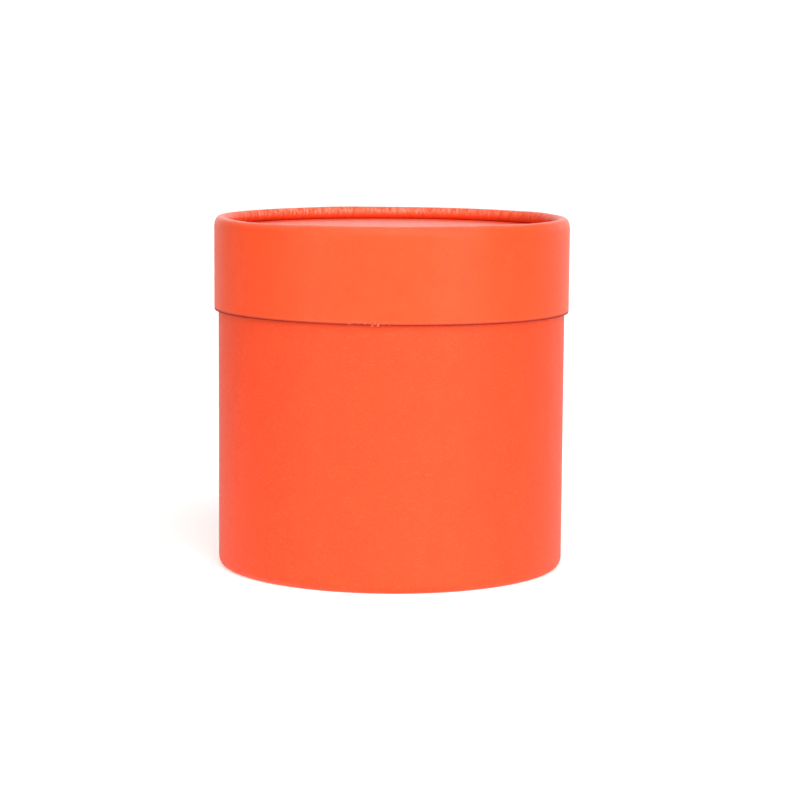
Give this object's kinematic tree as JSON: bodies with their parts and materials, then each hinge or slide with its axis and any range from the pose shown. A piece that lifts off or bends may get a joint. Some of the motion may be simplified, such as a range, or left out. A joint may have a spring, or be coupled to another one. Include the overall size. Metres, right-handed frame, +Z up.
{
  "type": "lidded flower bucket",
  "caption": "Round paper-covered board gift box for flowers: straight bucket with rolled edges and a loose cap lid that slides down over it.",
  "frame": {"origin": "centre of the ring on which the bucket stands, at the height of the surface it stands on", "axes": "+Z up along the axis of the bucket and lid, -Y towards the viewer of the picture, +Y towards the lap seams at the back, +X to the viewer's right"},
  "size_m": [0.1276, 0.1277, 0.1256],
  "materials": {
    "bucket_cover_paper": "uncoated orange covering paper, matte with a slight sheen",
    "lid_cover_paper": "uncoated orange covering paper, matte with a slight sheen",
    "lining_paper": "matte white lining paper",
    "wound_board": "matte solid board, wound in plies, raw at its cut edges",
    "disc_board": "matte solid grey board, covered on both sides",
    "glue": "dried white wood glue, satin"
  },
  "bodies": {
    "bucket": {"body_wrap": "bucket_cover_paper", "body_tube": "wound_board", "body_lining": "lining_paper", "bottom_disc": "disc_board", "bottom_facing": "bucket_cover_paper", "bottom_lining": "lining_paper", "bottom_glue": "glue"},
    "lid": {"lid_wrap": "lid_cover_paper", "lid_tube": "wound_board", "lid_lining": "lining_paper", "lid_disc": "disc_board", "lid_facing": "lid_cover_paper", "lid_disc_lining": "lining_paper", "lid_glue": "glue"}
  },
  "joints": [
    {"name": "lid_lift", "type": "slide", "parent": "bucket", "child": "lid", "axis": [0, 0, 1], "range_m": [0, 0.15]}
  ]
}
